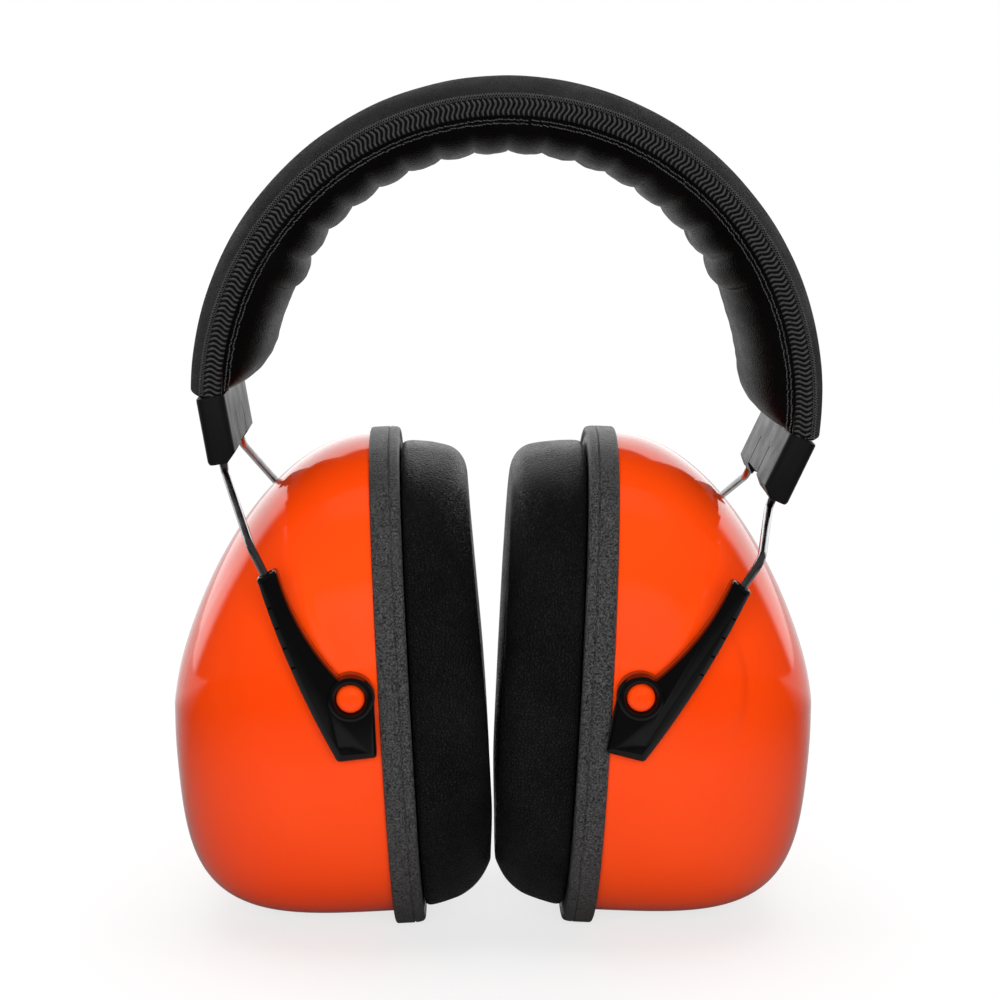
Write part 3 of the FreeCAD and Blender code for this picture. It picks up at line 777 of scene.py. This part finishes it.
def make_arm(side, facing):
    """Sliding arm: bevelled lever, hollow sleeve for the wire, raised collar for the pin."""
    outline, radii = arm_corners()
    weights = [bevel_weight(*point) for point in outline]
    levels = ((0.25, 43.0), (0.0, 43.25), (0.0, 46.35), (0.12, 46.65), (0.95, 47.45), (1.25, 47.6))
    rings = prism(outline, levels, weights, radii)
    piece = make_blank(f"{side}_{facing}_lever", rings, GLOSS)
    collar = lathe(((4.6, 46.0), (5.1, 46.6), (5.15, 47.7), (4.98, 48.15), (4.6, 48.38),
                    (4.1, 48.38), (3.75, 48.2), (3.6, 47.9)))
    carve(piece, [make_blank("collar", collar, GLOSS)], "UNION")

    seat = lathe(((3.42, 45.5), (3.42, 47.7), (3.6, 48.1), (3.8, 49.5)))
    dish = lathe(((0.3, 47.25), (1.0, 47.35), (1.6, 47.62), (1.7, 48.0)), 32)
    dish = [[(x + 5.9, y - 9.4, z) for x, y, z in ring] for ring in dish]
    mouth = [(2.75, 28.0), (6.0, 28.0), (6.0, 34.5), (2.75, 34.5)]
    relief = [(-6.0, 0.0), (-9.0, -16.0), (3.2, -16.0)]
    cutters = [seat, dish, straight_cut(mouth, 43.9, 46.55), straight_cut(relief, 42.0, 44.4)]
    for notch in range(NOTCH_COUNT):
        along = TOP_NOTCH - notch * NOTCH_PITCH
        turn = math.asin((along - LEVER_EDGE_CENTRE[1]) / LEVER_EDGE_RADIUS)
        edge = LEVER_EDGE_RADIUS * math.cos(turn) + LEVER_EDGE_CENTRE[0]
        corners = [(edge - 1.35, along - 0.22), (edge + 1.0, along - 0.3),
                   (edge + 1.0, along + 0.3), (edge - 1.35, along + 0.22)]
        cutters.append(straight_cut(corners, 45.9, 48.0))
    carve(piece, [make_blank("cutter", rings, GLOSS) for rings in cutters])
    settle(piece, facing_matrix(side, facing, ARM_LEAN[side]))
    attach(piece, side + "_arms")
    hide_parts(f"{side}_{facing}_arm")


# ---------------------------------------------------------------- band frame and wires
def on_band(angle, radius, y):
    """A point of the band: degrees about the arch's centre from +X, radius, y."""
    turn = math.radians(angle)
    return Vector((ARCH_X + radius * math.cos(turn), y, ARCH_Z + radius * math.sin(turn)))


def band_end(side):
    return BAND_MIDDLE - SIDES[side] * BAND_HALF_SWEEP


def clip_top(side):
    angle = math.radians(band_end(side))
    out = SIDES[side]
    down = Vector((out * math.sin(angle), 0, -out * math.cos(angle)))
    return on_band(band_end(side), WIRE_ARCH_RADIUS, 0) + down * CLIP_GAP


def wire_corners(side, facing):
    """Corners from inside the arm to just inside the band, each with its bend radius."""
    out, y_sign = SIDES[side], FACINGS[facing]
    lean = ARM_LEAN[side]
    up = Vector((out * math.sin(lean), 0, math.cos(lean)))
    square = Vector((out * math.cos(lean), 0, -math.sin(lean)))
    leg = PIVOT[side] + square * 4.75 + Vector((0, y_sign * 45.2, 0))
    down = Vector((-out * math.sin(CLIP_LEAN[side]), 0, -math.cos(CLIP_LEAN[side])))
    clip_line = clip_top(side) + Vector((0, y_sign * WIRE_BAND_Y, 0))
    return [
        (leg + up * 3.0, 0),
        (leg + up * 40.4, 4.0),
        (clip_line + down * (CLIP_HEIGHT + 2), 3.0),
        (clip_line, 8.0),
        (on_band(band_end(side), WIRE_ARCH_RADIUS, y_sign * WIRE_BAND_Y), 0),
    ]


def make_wire(side, facing):
    """Half of a spring wire: the bare leg, and the length that lies in the band."""
    points, faces = skin(tube(rounded_path(wire_corners(side, facing)), WIRE_RADIUS))
    leg = add_piece(f"{side}_{facing}_wire_leg", points, faces, STEEL)
    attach(leg, side + "_side")
    arch = []
    for step in range(61):
        angle = band_end(side) + (BAND_MIDDLE - band_end(side)) * step / 60
        arch.append(on_band(angle, WIRE_ARCH_RADIUS, FACINGS[facing] * WIRE_BAND_Y))
    points, faces = skin(tube(arch, WIRE_RADIUS, 12))
    inner = add_piece(f"{side}_{facing}_wire_arch", points, faces, STEEL)
    bend_band(inner)
    for piece in (leg, inner):
        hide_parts(facing + "_spring_wire")


def bend_band(piece):
    """Bakes the piece's placement into its mesh."""
    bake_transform(piece)


# ---------------------------------------------------------------- end clips
def clip_section():
    """Counter-clockwise section (depth, width): two columns and the plate between."""
    half_depth, half, inside, plate = 3.35, 27.0, 20.6, -1.15
    corner = 2.0
    outline = []
    for sx, sy, start in ((1, -1, -90), (1, 1, 0), (-1, 1, 90), (-1, -1, 180)):
        if sx > 0 and sy > 0:
            outline += [(half_depth, -inside - 0.3), (half_depth - 0.3, -inside)]
            outline += [(plate, -inside), (plate, inside)]
            outline += [(half_depth - 0.3, inside), (half_depth, inside + 0.3)]
        centre = (sx * (half_depth - corner), sy * (half - corner))
        for step in range(7):
            angle = math.radians(start + 90 * step / 6)
            outline.append(
                (centre[0] + corner * math.cos(angle), centre[1] + corner * math.sin(angle))
            )
    return outline


def box_rings(x0, x1, y0, y1, z0, z1):
    return [[(x0, y0, z), (x1, y0, z), (x1, y1, z), (x0, y1, z)] for z in (z0, z1)]


def make_clip(side):
    """Moulded end clip; its thin plate has a tongue that springs in and out."""
    levels = ((0.45, 0.35), (0.12, 0.2), (0.0, -0.2), (0.0, -14.3), (0.12, -14.8), (0.4, -15.2))
    piece = make_blank(side + "_clip_body", prism(clip_section(), levels), CLIP_PLASTIC)
    cutters = [box_rings(-5, 0, -8.5, 8.5, -17, -12.6)]
    for y in (-8.5, 8.5):
        cutters.append(box_rings(-5, 0, y - 0.35, y + 0.35, -14, -5.6))
    for y in (-WIRE_BAND_Y, WIRE_BAND_Y):
        flare = lathe(((1.65, -18), (1.65, -14.2), (1.1, -13.9)), 24)
        cutters.append([[(x, y + around, z) for x, around, z in ring] for ring in flare])
    edge = [(-4.4, -16.2), (-0.2, -16.2), (-4.4, -12.0)]
    cutters.append([[(x, y, z) for x, z in edge] for y in (-28, 28)])
    carve(piece, [make_blank("cutter", rings, CLIP_PLASTIC) for rings in cutters])
    turn = Matrix.Rotation(SIDES[side] * CLIP_LEAN[side], 4, "Y")
    if side == "left":
        turn = turn @ Matrix.Rotation(math.pi, 4, "Z")
    settle(piece, Matrix.Translation(clip_top(side)) @ turn)
    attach(piece, side + "_side")
    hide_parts(side + "_end_clip")


# ---------------------------------------------------------------- headband
CHANNEL_PITCH = 7.9
CHANNEL_START = 89.7
CHANNEL_LAST = 63.5
RIBS_PER_HALF = 93
PAD_INNER = 56.9


def band_angles(side, count, tuck):
    """Angles from the crown to the band's end, tucked into the clip by some degrees."""
    last = band_end(side) - SIDES[side] * tuck
    return [BAND_MIDDLE + (last - BAND_MIDDLE) * step / count for step in range(count + 1)]


def make_cover(side):
    """Outer cover: smooth crowned skin, turned under at its edges."""
    rings = []
    half = 25.5
    for angle in band_angles(side, 120, 1.2):
        ring = []
        for step in range(33):
            y = half * math.cos(math.pi * step / 32)
            crown = 1 - abs(y / half) ** 2.2
            wave = 0.12 * noise.noise(Vector((angle * 0.11, y * 0.09, 3)))
            ring.append(on_band(angle, 69.9 + 4.3 * crown + wave * crown, y))
        ring.append(on_band(angle, 69.2, -half - 0.05))
        ring.append(on_band(angle, 68.7, -half + 0.6))
        ring.append(on_band(angle, 68.7, half - 0.6))
        ring.append(on_band(angle, 69.2, half + 0.05))
        rings.append(ring)
    points, faces = skin(rings)
    piece = add_piece(side + "_band_cover", points, faces, COVER_SKIN, sharp=60)
    bend_band(piece)
    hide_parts("headband_cover")


def channel_share(angle):
    """0 in a sewn channel, 1 on the crest between two channels; 1 past the last one."""
    offset = angle - CHANNEL_START
    if abs(offset) > CHANNEL_LAST:
        return 1.0
    return abs(math.sin(math.pi * offset / CHANNEL_PITCH)) ** 0.62


def make_pad(side):
    """Cushion under the band: sewn channels across it and a full smooth lobe at its end."""
    rings = []
    top, half = 65.3, 25.9
    for angle in band_angles(side, 280, 0.0):
        from_end = abs(angle - band_end(side))
        offset = abs(angle - CHANNEL_START)
        crest = channel_share(angle)
        depth = 0.9 + 0.8 * min(1.0, offset / CHANNEL_LAST) ** 2
        if offset > CHANNEL_LAST:
            depth = 0.0
        lobe = smooth_step(from_end, 40, 24)
        inner = PAD_INNER - depth * (crest - 0.2) - 1.3 * lobe
        if from_end < 11:
            inner += 9.5 * (1 - math.sqrt(max(0.0, 1 - (1 - from_end / 11) ** 2)))
        narrow = 1.0 - 0.10 * (1 - min(1.0, from_end / 5)) ** 2
        ring = []
        for step in range(41):
            turn = math.pi * step / 40
            across, deep = math.cos(turn), math.sin(turn) ** (2 / 2.7)
            y = half * narrow * math.copysign(abs(across) ** (2 / 2.7), across)
            pucker = 0.0
            if 0.02 < deep < 0.5:
                gather = noise.noise(Vector((angle * 0.42, SIDES[side], 9 * math.copysign(1, y))))
                fold = noise.noise(Vector((angle * 1.3, 5, math.copysign(3, y))))
                pucker = (0.55 * gather + 0.25 * fold) * math.sin(math.pi * min(1, deep / 0.45))
            valley = (1 - crest) * depth * smooth_step(deep, 0.35, 0.95)
            y -= math.copysign(0.55 * valley - pucker * 0.8, y) if abs(y) > 12 else 0.0
            radius = top - (top - inner) * deep
            wrinkle = 0.16 * noise.noise(Vector((angle * 0.5, y * 0.12, 1)))
            ring.append(on_band(angle, radius + wrinkle * deep, y))
        rings.append(ring)
    points, faces = skin(rings)
    piece = add_piece(side + "_band_pad", points, faces, PAD_SKIN, sharp=65)
    bend_band(piece)
    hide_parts("headband_pad", "headband_foam")


def make_binding(side, facing):
    """Ribbed tape over the band's edge: wavy raised ribs across a dark ground."""
    out = FACINGS[facing]
    samples = 8
    low, high = 65.1, 69.4
    across_steps = 14
    rings = []
    for index, angle in enumerate(band_angles(side, RIBS_PER_HALF * samples, 0.9)):
        ring = []
        for step in range(across_steps + 1):
            share = step / across_steps
            radius = low + (high - low) * share
            phase = index / samples + SIDES[side] * 0.34 * math.sin(2 * math.pi * share * 1.15)
            ridge = max(0.0, math.cos(2 * math.pi * phase)) ** 0.7
            fade = smooth_step(share, 0.0, 0.12) * (1 - smooth_step(share, 0.88, 1.0))
            ring.append(on_band(angle, radius, out * (25.75 + 0.5 * ridge * fade)))
        ring.append(on_band(angle, high, out * 24.9))
        ring.append(on_band(angle, low, out * 24.9))
        rings.append(ring)
    points, faces = skin(rings)
    piece = add_piece(f"{side}_{facing}_ribbed_tape", points, faces, TAPE_GROUND, sharp=80)
    piece.data.materials.append(RIB_THREAD)
    ridge_y = (25.75 + 0.22) * MM
    for face in piece.data.polygons:
        if abs(face.center.y) > ridge_y:
            face.material_index = 1
    bend_band(piece)
    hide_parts(facing + "_binding")


def make_zigzag(side, facing):
    """Two crossing zigzag threads that sew the tape to the cover."""
    out = FACINGS[facing]
    points, faces = [], []
    for shift in (0, 1):
        path = []
        for index, angle in enumerate(band_angles(side, RIBS_PER_HALF * 2, 0.9)):
            radius = 69.25 if (index + shift) % 2 else 70.25
            depth = 25.95 if radius < 70 else 25.6
            path.append(on_band(angle, radius, out * depth))
        made, joined = skin(tube(path, 0.15, 6))
        faces += [tuple(corner + len(points) for corner in face) for face in joined]
        points += made
    piece = add_piece(f"{side}_{facing}_zigzag", points, faces, RIB_THREAD, sharp=80)
    bend_band(piece)


def make_stitches(side, facing):
    """Short paired stitches along the gathered seam between the tape and the pad."""
    out = FACINGS[facing]
    points, faces = [], []
    angles = band_angles(side, 150, -0.5)
    for angle in angles[1:]:
        for row in (0, 1):
            radius = 64.35 - 0.85 * row + random.uniform(-0.12, 0.12)
            middle = angle + random.uniform(-0.08, 0.08)
            path = []
            for step in range(4):
                rise = 0.18 * math.sin(math.pi * step / 3)
                along = (step / 3 - 0.5) * 0.42
                lift = 26.05 + rise + 0.15 * row
                path.append(on_band(middle + along, radius + 0.25 * along, out * lift))
            made, joined = skin(tube(path, 0.13, 6))
            faces += [tuple(corner + len(points) for corner in face) for face in joined]
            points += made
    piece = add_piece(f"{side}_{facing}_stitches", points, faces, RIB_THREAD, sharp=80)
    bend_band(piece)


for side in SIDES:
    make_dome(side)
    make_plate(side)
    make_cushion(side)
    make_damping_foam(side)
    make_clip(side)
    make_cover(side)
    make_pad(side)
    for facing in FACINGS:
        make_pin(side, facing)
        make_arm(side, facing)
        make_wire(side, facing)
        make_binding(side, facing)
        make_zigzag(side, facing)
        make_stitches(side, facing)


# ---------------------------------------------------------------- studio
def make_floor():
    """White paper sweep: it catches soft shadows near the object and is evenly white beyond."""
    mesh = bpy.data.meshes.new("floor")
    mesh.from_pydata([(-6, -6, 0), (6, -6, 0), (6, 6, 0), (-6, 6, 0)], [], [(0, 1, 2, 3)])
    material, shader = new_material("white_paper", grey(0.36), 0.9, specular=0.0)
    shader.inputs["Emission Color"].default_value = (1, 1, 1, 1)
    nodes, links = material.node_tree.nodes, material.node_tree.links
    coordinates = nodes.new("ShaderNodeTexCoord")
    reach = nodes.new("ShaderNodeVectorMath")
    reach.operation = "LENGTH"
    links.new(coordinates.outputs["Object"], reach.inputs[0])
    glow = nodes.new("ShaderNodeMapRange")
    glow.interpolation_type = "SMOOTHSTEP"
    for name, value in (("From Min", 0.08), ("From Max", 0.32), ("To Min", 0.72), ("To Max", 1.0)):
        glow.inputs[name].default_value = value
    links.new(reach.outputs["Value"], glow.inputs["Value"])
    shade = nodes.new("ShaderNodeMapRange")
    shade.interpolation_type = "SMOOTHSTEP"
    for name, value in (("From Min", 0.12), ("From Max", 0.3), ("To Min", 0.26), ("To Max", 0.03)):
        shade.inputs[name].default_value = value
    links.new(reach.outputs["Value"], shade.inputs["Value"])
    links.new(shade.outputs["Result"], shader.inputs["Base Color"])
    split = nodes.new("ShaderNodeSeparateXYZ")
    links.new(coordinates.outputs["Object"], split.inputs[0])
    behind = nodes.new("ShaderNodeMapRange")
    behind.inputs["From Min"].default_value = 0.05
    behind.inputs["From Max"].default_value = 0.25
    behind.inputs["To Max"].default_value = 0.8
    links.new(split.outputs["Y"], behind.inputs["Value"])
    seen = nodes.new("ShaderNodeLightPath")
    lit = nodes.new("ShaderNodeMath")
    lit.operation = "MAXIMUM"
    links.new(behind.outputs["Result"], lit.inputs[0])
    links.new(seen.outputs["Is Camera Ray"], lit.inputs[1])
    shown = nodes.new("ShaderNodeMath")
    shown.operation = "MULTIPLY"
    links.new(glow.outputs["Result"], shown.inputs[0])
    links.new(lit.outputs[0], shown.inputs[1])
    links.new(shown.outputs[0], shader.inputs["Emission Strength"])
    mesh.materials.append(material)
    floor = bpy.data.objects.new("floor", mesh)
    floor.location = (0, 0, -0.0001)
    bpy.context.scene.collection.objects.link(floor)


def add_area(name, location, target, size, power):
    """A soft area light that leaves no highlight on gloss."""
    light = bpy.data.lights.new(name, "AREA")
    light.shape = "RECTANGLE"
    light.size, light.size_y = size
    light.energy = power
    lamp = bpy.data.objects.new(name, light)
    lamp.location = location
    lamp.visible_glossy = False
    direction = Vector(target) - Vector(location)
    lamp.rotation_euler = direction.to_track_quat("-Z", "Y").to_euler()
    bpy.context.scene.collection.objects.link(lamp)


def make_world():
    """White to look at. What the object mirrors is a dim room with a bright far wall."""
    world = bpy.data.worlds.new("studio")
    world.use_nodes = True
    nodes, links = world.node_tree.nodes, world.node_tree.links
    room = nodes["Background"]
    room.inputs["Color"].default_value = (1, 1, 1, 1)
    coordinates = nodes.new("ShaderNodeTexCoord")
    split = nodes.new("ShaderNodeSeparateXYZ")
    links.new(coordinates.outputs["Generated"], split.inputs[0])
    share = None
    for axis, low, high in (("Y", 0.40, 0.60), ("Z", 0.70, 0.64)):
        edge = nodes.new("ShaderNodeMapRange")
        edge.interpolation_type = "SMOOTHSTEP"
        edge.inputs["From Min"].default_value = low
        edge.inputs["From Max"].default_value = high
        links.new(split.outputs[axis], edge.inputs["Value"])
        if share is None:
            share = edge.outputs["Result"]
        else:
            both = nodes.new("ShaderNodeMath")
            both.operation = "MULTIPLY"
            links.new(share, both.inputs[0])
            links.new(edge.outputs["Result"], both.inputs[1])
            share = both.outputs[0]
    wall = nodes.new("ShaderNodeMapRange")
    wall.inputs["To Min"].default_value = 0.07
    wall.inputs["To Max"].default_value = 1.8
    links.new(share, wall.inputs["Value"])
    links.new(wall.outputs["Result"], room.inputs["Strength"])
    paper = nodes.new("ShaderNodeBackground")
    paper.inputs["Color"].default_value = (1, 1, 1, 1)
    seen = nodes.new("ShaderNodeLightPath")
    mix = nodes.new("ShaderNodeMixShader")
    links.new(seen.outputs["Is Camera Ray"], mix.inputs[0])
    links.new(room.outputs[0], mix.inputs[1])
    links.new(paper.outputs[0], mix.inputs[2])
    links.new(mix.outputs[0], nodes["World Output"].inputs["Surface"])
    bpy.context.scene.world = world


def make_camera():
    """Camera at the photograph's angle: slightly above, looking along +Y."""
    distance, elevation, azimuth = 0.615, math.radians(9.21), math.radians(-0.96)
    target = Vector((0.0011, 0, 0.1014))
    back = Vector((math.sin(azimuth) * math.cos(elevation),
                   -math.cos(azimuth) * math.cos(elevation), math.sin(elevation)))
    data = bpy.data.cameras.new("camera")
    data.lens, data.sensor_width = 92.8, 36
    data.clip_start = 0.01
    camera = bpy.data.objects.new("camera", data)
    camera.location = target + back * distance
    camera.rotation_euler = (-back).to_track_quat("-Z", "Y").to_euler()
    bpy.context.scene.collection.objects.link(camera)
    bpy.context.scene.camera = camera


make_floor()
make_world()
add_area("top_box", (0, 0.0, 0.9), (0, 0, 0.05), (0.9, 0.7), 7)
add_area("front_fill", (0, -1.4, 0.35), (0, 0, 0.08), (1.2, 0.8), 24)
make_camera()
bpy.context.scene.view_settings.view_transform = "Standard"
